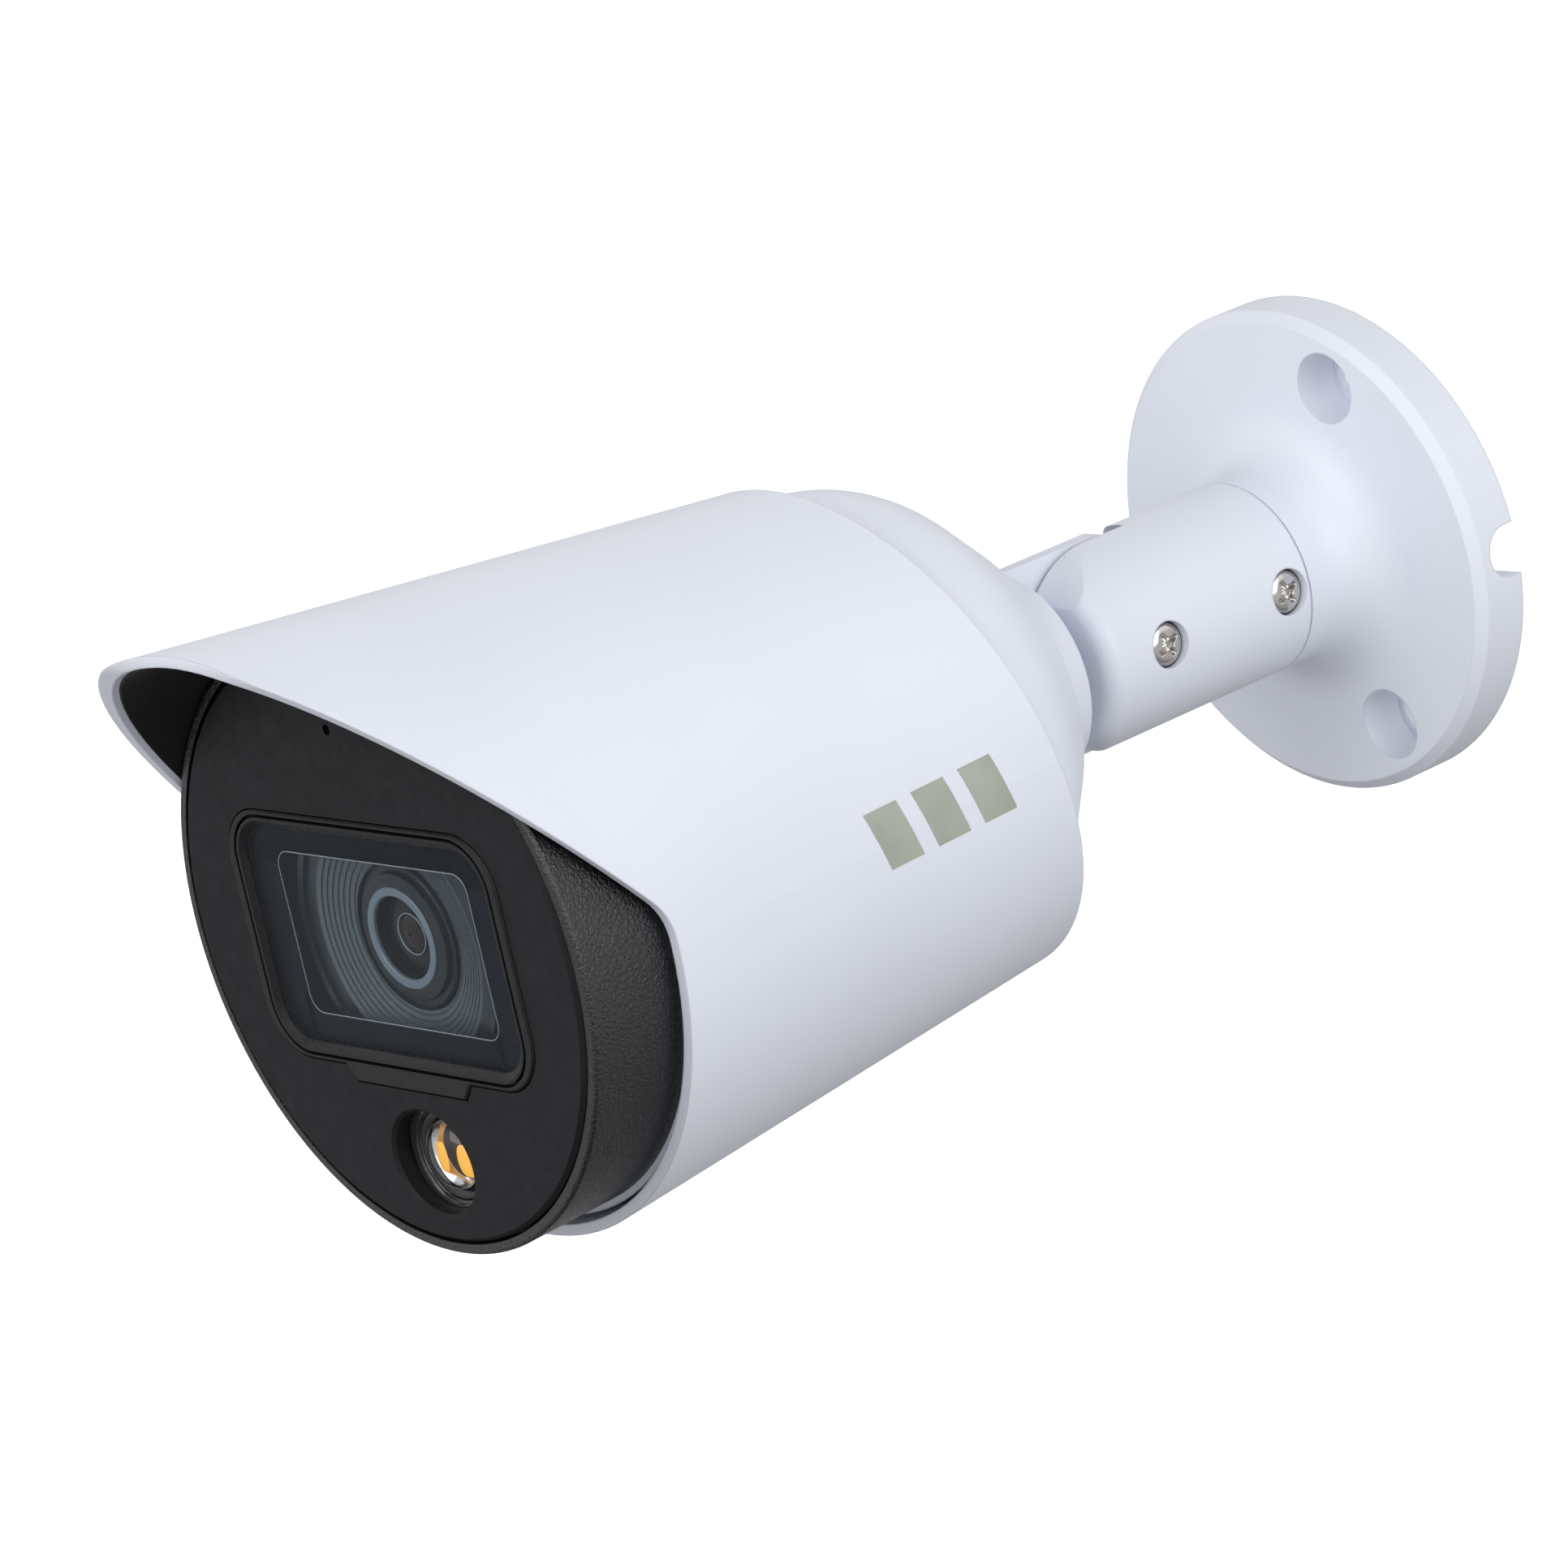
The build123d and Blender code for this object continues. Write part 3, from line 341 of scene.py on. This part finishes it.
# Pale tone of the iris rim is a painted glint, lighter than its metal would show.
iris_painted_glint = plain("iris_rim_metal", (0.45, 0.55, 0.62), 0.25, depth=0.0005 * MM, Metallic=0.3)
rear_glass = plain("rear_element_glass", (0.020, 0.010, 0.007), 0.06, depth=0.0005 * MM)
well_black = plain("lens_well_black", (0.014, 0.010, 0.008), 0.45)

finishes = {
    white_casting: ("mount_base", "arm", "knuckle", "housing"),
    white_shade: ("sunshade",),
    hood_black: ("front_hood",),
    plate_black: ("face_plate",),
    liner_black: ("visor_liner",),
    bezel_black: ("window_bezel",),
    mask_black: ("window_mask",),
    window_pane: ("window_glass",),
    stainless: ("pan_lock_screw", "tilt_screw", "shade_screws", "hood_screws", "board_screws"),
    dark_steel: ("roll_lock_screw",),
    brass: ("tilt_insert", "module_pillars"),
    nylon: ("tilt_washer", "board_rails"),
    rubber: ("hood_o_ring", "plate_seal", "cable_grommet"),
    baffle_grey: ("lens_baffle",),
    barrel_black: ("lens_barrel",),
    ring_grey: ("lens_ring",),
    lens_pane: ("lens_element",),
    holder_black: ("lens_holder", "module_plate", "led_holder", "microphone"),
    sensor_blue: ("image_sensor",),
    board_green: ("sensor_board", "main_board"),
    chip_black: ("processor",),
    led_white: ("led_board",),
    phosphor: ("led_emitter",),
    reflector: ("led_ring",),
    led_clear: ("led_lens",),
}
for material, names in finishes.items():
    for name in names:
        for slot in nodes[name].material_slots:
            slot.material = material


# ---------------------------------------------------------------- detail pieces
def add_piece(name, mesh, material, body):
    """Link a finished mesh as a piece that rides on a body."""
    mesh.materials.append(material)
    for polygon in mesh.polygons:
        polygon.use_smooth = True
    piece = bpy.data.objects.new(name, mesh)
    scene.collection.objects.link(piece)
    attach(piece, body)
    return piece


def mesh_from(name, verts, faces):
    mesh = bpy.data.meshes.new(name)
    mesh.from_pydata(verts, [], faces)
    mesh.validate()
    return mesh


def grid_faces(lines, points, first=0, closed_lines=False, closed_points=False):
    """Quads over lines of points, from the vertex first on; either direction can close on itself."""
    faces = []
    for i in range(lines if closed_lines else lines - 1):
        near = first + i * points
        far = first + (i + 1) % lines * points
        for j in range(points if closed_points else points - 1):
            k = (j + 1) % points
            faces.append((near + j, near + k, far + k, far + j))
    return faces


def lathe(name, profile, centre, segments=96):
    """Surface of revolution about a line along Y; profile holds (radius, y), centre holds (x, z)."""
    verts = []
    for radius, y in profile:
        for i in range(segments):
            turn = math.tau * i / segments
            verts.append((centre[0] + radius * math.cos(turn), y, centre[1] + radius * math.sin(turn)))
    return mesh_from(name, verts, grid_faces(len(profile), segments, closed_points=True))


def arc(radius, rise, steps):
    """Domed profile from its rim (height 0) towards its crown: (share of radius, height)."""
    return [(radius * math.cos(t), rise * math.sin(t))
            for t in (math.pi / 2 * i / steps for i in range(steps))]


def screw_head(name, node, body):
    """Lock screw with a domed head, a tapered cross recess and a shank, and a dark steel ring round its
    head that paints the shade in the gap.
    """
    low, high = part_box(node)
    centre = (low + high) / 2
    radius = (high.z - low.z) / 2
    head_h = 1.6 * MM
    dome_h = 0.9 * MM
    dome_power = 3.2               # higher is flatter in the middle
    cross_turn = math.radians(27)
    wing_r = 0.66 * radius         # reach of the cross
    wing_half = 0.20 * radius      # half width of its wings at the middle
    wing_taper = 0.35
    wing_wall = 0.05 * radius      # run of the steep sides
    wing_depth = 0.75 * MM
    wing_slope = 0.6 * MM          # how much deeper the wings get towards the middle
    wing_end = 3.0                 # steepness of the outer ends
    core_r = 0.34 * radius
    core_depth = 1.25 * MM
    shank_r = 0.615 * radius
    tip_r = 0.6 * shank_r
    tip_h = 0.3 * MM
    seat = high.x - head_h
    rings, segments = 44, 120
    ring_spacing = 0.9

    def cross_depth(r, t):
        deepest = 0.0
        for quarter in range(4):
            angle = t - cross_turn - quarter * math.pi / 2
            along = r * math.cos(angle)
            across = abs(r * math.sin(angle))
            if along > 0:
                half = wing_half * (1 - wing_taper * along / wing_r)
                ramp = max(0.0, 1 - along / wing_r)
                side = max(0.0, min(1.0, (half - across) / wing_wall))
                depth = wing_depth + wing_slope * ramp
                deepest = max(deepest, side * min(1.0, wing_end * ramp) * depth)
        return deepest

    def height_at(r, t):
        top = head_h - dome_h * (1 - math.sqrt(max(0.0, 1 - (r / radius) ** dome_power)))
        core = min(1.0, 2 * max(0.0, 1 - (r / core_r) ** 4))
        return top - max(cross_depth(r, t), core_depth * core)

    turns = [math.tau * i / segments for i in range(segments)]
    rounds = []
    for ring in range(1, rings):
        r = radius * (ring / rings) ** ring_spacing
        rounds.append((r, [seat + height_at(r, t) for t in turns]))
    for r, x in ((radius, high.x - dome_h), (radius, seat), (shank_r, seat), (shank_r, low.x + tip_h),
                 (tip_r, low.x)):
        rounds.append((r, [x] * segments))
    verts = [(seat + height_at(0, 0), centre.y, centre.z)]
    for r, places in rounds:
        for x, t in zip(places, turns):
            verts.append((x, centre.y + r * math.cos(t), centre.z + r * math.sin(t)))
    faces = [(0, 1 + i, 1 + (i + 1) % segments) for i in range(segments)]
    faces += [(a, d, c, b) for a, b, c, d in grid_faces(len(rounds), segments, 1, closed_points=True)]
    tip = len(verts) - segments
    faces.append(tuple(tip + i for i in reversed(range(segments))))
    piece = add_piece(name, mesh_from(name, verts, faces), stainless, body)
    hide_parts(node)

    # Dark steel ring in the gap round the head: painted shade of the recess.
    gap = [(radius - 0.05 * MM, 0.0), (radius + 0.03 * MM, -0.75 * MM), (radius + 0.17 * MM, -0.80 * MM),
           (radius + 0.18 * MM, 0.0)]
    ring = lathe(name + "_rim", gap, (0.0, 0.0), segments)
    ring.transform(Matrix.Translation((seat, centre.y, centre.z)) @ Matrix.Rotation(math.pi / 2, 4, "Z"))
    add_piece(name + "_rim", ring, dark_steel, body)


def lens_detail():
    """Iris rim, rear element and dark well, seen through the front element."""
    iris_r = 2.52
    wire_r = 0.09
    rear_r = 2.5
    rear_rise = 0.7
    axis = axis_of("lens_ring")
    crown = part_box("lens_element")[0].y
    iris_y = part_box("lens_ring")[0].y + 1.6 * MM
    rim = [((iris_r + wire_r * math.cos(t)) * MM, iris_y + wire_r * MM * math.sin(t))
           for t in (math.tau * i / 12 for i in range(13))]
    add_piece("iris_rim", lathe("iris_rim", rim, axis), iris_painted_glint, HEAD)
    dome = [(r * MM, iris_y + 0.4 * MM - rise * MM) for r, rise in arc(rear_r, rear_rise, 14)]
    add_piece("rear_element", lathe("rear_element", dome, axis), rear_glass, HEAD)
    well = [(5.0 * MM, crown + 1.3 * MM), (4.4 * MM, iris_y + 0.3 * MM), (2.6 * MM, iris_y + 0.25 * MM)]
    add_piece("lens_well", lathe("lens_well", well, axis), well_black, HEAD)


def mask_outline():
    """Thin bright edge of the printed border round the clear part of the window."""
    border_side = 4.7 * MM
    border_top = 3.3 * MM
    corner = 2.2 * MM
    line_half = 0.08 * MM
    line_lift = 0.06 * MM
    low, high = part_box("window_mask")
    middle_x, middle_z = axis_of("window_mask")
    half_w = (high.x - low.x) / 2 - border_side
    half_h = (high.z - low.z) / 2 - border_top
    line_y = low.y - 0.01 * MM
    steps = 8
    verts = []
    for sx, sz, start in ((1, 1, 0), (-1, 1, 90), (-1, -1, 180), (1, -1, 270)):
        for step in range(steps + 1):
            turn = math.radians(start + step * 90 / steps)
            x = middle_x + sx * (half_w - corner) + corner * math.cos(turn)
            z = middle_z + sz * (half_h - corner) + corner * math.sin(turn)
            for across, lift in ((-line_half, 0.0), (0.0, line_lift), (line_half, 0.0)):
                verts.append((x + math.cos(turn) * across, line_y - lift, z + math.sin(turn) * across))
    faces = grid_faces(len(verts) // 3, 3, closed_lines=True)
    add_piece("window_print_edge", mesh_from("window_print_edge", verts, faces), print_edge, HEAD)


def phosphor_half(name, axis, face_y, left, right, tall):
    """Flat-backed, slightly dished half of the phosphor; left, right and tall in millimetres."""
    drop = 0.7                 # below the light's axis
    back = 0.55                # behind the rim
    dish = 0.25
    flat = 0.6                 # share of the width where both sides meet at the tips
    columns, steps = 5, 24
    verts = []
    for i in range(steps + 1):
        turn = math.radians(-90 + 180 * i / steps)
        z = tall * math.sin(turn)
        bulge = math.cos(turn) ** 0.6 if 0 < i < steps else 0.0
        near = left + (flat - flat * bulge) * (right - left)
        far = left + (flat + (1 - flat) * bulge) * (right - left)
        for k in range(columns):
            share = k / (columns - 1)
            x = near + (far - near) * share
            sag = dish * (1 - (2 * share - 1) ** 2) * math.cos(turn)
            verts.append((axis[0] + x * MM, face_y + (back - sag) * MM, axis[1] + (z - drop) * MM))
    faces = grid_faces(steps + 1, columns)
    add_piece(name, mesh_from(name, verts, faces), phosphor, HEAD)


def light_detail():
    """Clear dome over a bright cup, a dark floor and a two-part phosphor, in a black flange."""
    dome_r = 4.3 * MM
    low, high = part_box("led_lens")
    axis = axis_of("led_lens")
    rim_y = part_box("led_ring")[1].y
    outer = (high.x - low.x) / 2
    crown = rim_y - low.y
    profile = [(0.6 * MM, high.y), (3.3 * MM, high.y), (dome_r, rim_y + 0.9 * MM)]
    profile += [(r, rim_y + 0.3 * MM - rise) for r, rise in arc(dome_r, crown + 0.3 * MM, 24)]
    profile.append((0.02 * MM, rim_y + 0.05 * MM - crown))
    piece = add_piece("light_dome", lathe("light_dome", profile, axis), led_clear, HEAD)
    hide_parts("led_lens")
    bore = dome_r + 0.02 * MM
    flange = [(bore, rim_y + 1.0 * MM), (bore, rim_y + 0.25 * MM), (dome_r + 0.4 * MM, rim_y + 0.25 * MM),
              (dome_r + 0.6 * MM, rim_y + 0.05 * MM), (outer - 0.2 * MM, rim_y), (outer, rim_y + 0.2 * MM),
              (outer, rim_y + 1.2 * MM), (bore, rim_y + 1.0 * MM)]
    add_piece("light_flange", lathe("light_flange", flange, axis), flange_black, HEAD)
    cup = [(dome_r - 0.02 * MM, rim_y + 0.6 * MM), (4.0 * MM, rim_y + 1.0 * MM),
           (3.7 * MM, rim_y + 1.2 * MM), (3.4 * MM, rim_y + 1.7 * MM)]
    add_piece("light_cup", lathe("light_cup", cup, axis), reflector, HEAD)
    base = [(3.45 * MM, rim_y + 1.65 * MM), (1.2 * MM, rim_y + 1.8 * MM), (0.02 * MM, rim_y + 1.8 * MM)]
    add_piece("light_floor", lathe("light_floor", base, axis), light_floor_brown, HEAD)
    phosphor_half("phosphor_left", axis, rim_y, left=-3.6, right=-1.6, tall=1.9)
    phosphor_half("phosphor_right", axis, rim_y, left=0.3, right=3.4, tall=2.0)


def side_mark():
    """Generic printed mark: three slanted bars, laid on the sleeve's side."""
    bars = 3
    bar_pitch = 8.0 * MM
    bar_length = 5.5 * MM
    bar_height = 7.5 * MM
    bar_bottom = -3.2 * MM
    first_y = -90.0 * MM
    slant = 0.35
    lift = 0.03 * MM
    outside = 0.2              # rays start here, beside the sleeve
    columns, rows = 14, 10
    sleeve = nodes["sunshade"]
    tree = BVHTree.FromPolygons([v.co for v in sleeve.data.vertices],
                                [tuple(p.vertices) for p in sleeve.data.polygons])
    verts = []
    faces = []
    for bar in range(bars):
        faces += grid_faces(columns + 1, rows + 1, first=len(verts))
        for i in range(columns + 1):
            for j in range(rows + 1):
                z = bar_bottom + bar_height * j / rows
                y = first_y - bar * bar_pitch - bar_length * i / columns - slant * z
                hit, normal, _, _ = tree.ray_cast(Vector((outside, y, z)), Vector((-1, 0, 0)))
                verts.append(hit + normal * lift)
    add_piece("side_mark", mesh_from("side_mark", verts, faces), print_grey, HEAD)


screw_head("tilt_screw_detail", "tilt_screw", "knuckle_body")
screw_head("pan_lock_screw_detail", "pan_lock_screw", "arm_body")
lens_detail()
mask_outline()
light_detail()
side_mark()


# ---------------------------------------------------------------- light and floor
SKY = ((0.0, 0.05), (0.3, 0.60), (0.5, 0.63), (0.7, 1.13), (1.0, 0.05))    # (height, level), 0.5 is level
LOOK_AT = Vector((0, -0.09, 0))
SOFT_BOX_SIZE = 0.6
FLOOR_HALF = 12.0
FLOOR_DROP = 0.30
FLOOR_GLOW = 0.75


def make_world():
    """Soft studio: brightest a little above eye level, dark straight above and below."""
    world = bpy.data.worlds.new("studio")
    scene.world = world
    world.use_nodes = True
    tree = world.node_tree
    background = tree.nodes["Background"]
    background.inputs["Strength"].default_value = 1.0
    coordinates = tree.nodes.new("ShaderNodeTexCoord")
    split = tree.nodes.new("ShaderNodeSeparateXYZ")
    ramp = tree.nodes.new("ShaderNodeValToRGB")
    height = tree.nodes.new("ShaderNodeMapRange")
    height.inputs["From Min"].default_value = -1.0
    tree.links.new(coordinates.outputs["Generated"], split.inputs["Vector"])
    tree.links.new(split.outputs["Z"], height.inputs["Value"])
    tree.links.new(height.outputs["Result"], ramp.inputs["Fac"])
    tree.links.new(ramp.outputs["Color"], background.inputs["Color"])
    while len(ramp.color_ramp.elements) < len(SKY):
        ramp.color_ramp.elements.new(0.5)
    for element, (position, level) in zip(ramp.color_ramp.elements, SKY):
        element.position = position
        element.color = (level, level, level, 1)


def soft_box(name, place, power):
    """Square area light that faces the middle of the object."""
    data = bpy.data.lights.new(name, "AREA")
    data.shape = "SQUARE"
    data.size = SOFT_BOX_SIZE
    data.energy = power
    lamp = bpy.data.objects.new(name, data)
    scene.collection.objects.link(lamp)
    lamp.location = place
    lamp.rotation_euler = (LOOK_AT - Vector(place)).to_track_quat("-Z", "Y").to_euler()


def make_floor():
    """Plain pale floor well below the wall-mounted object."""
    corners = [(-FLOOR_HALF, -FLOOR_HALF, 0), (FLOOR_HALF, -FLOOR_HALF, 0), (FLOOR_HALF, FLOOR_HALF, 0),
               (-FLOOR_HALF, FLOOR_HALF, 0)]
    mesh = mesh_from("floor", corners, [(0, 1, 2, 3)])
    surface = Surface("floor_white", (0.95, 0.95, 0.95), roughness=0.9, Emission_Color=(1, 1, 1, 1),
                      Emission_Strength=FLOOR_GLOW)
    surface.relief(surface.noise(50 * MM, detail=2.0), depth=0.2 * MM)
    mesh.materials.append(surface.material)
    floor = bpy.data.objects.new("floor", mesh)
    scene.collection.objects.link(floor)
    floor.location.z = cad_box[0][2] - FLOOR_DROP
    floor.visible_diffuse = False
    floor.visible_glossy = False


make_world()
soft_box("key_above", (0.10, -0.75, 0.55), power=2.45)
soft_box("front_right", (0.65, -0.60, 0.25), power=0.48)
soft_box("right_side", (0.85, -0.05, 0.20), power=1.94)
make_floor()
scene.view_settings.view_transform = "Standard"
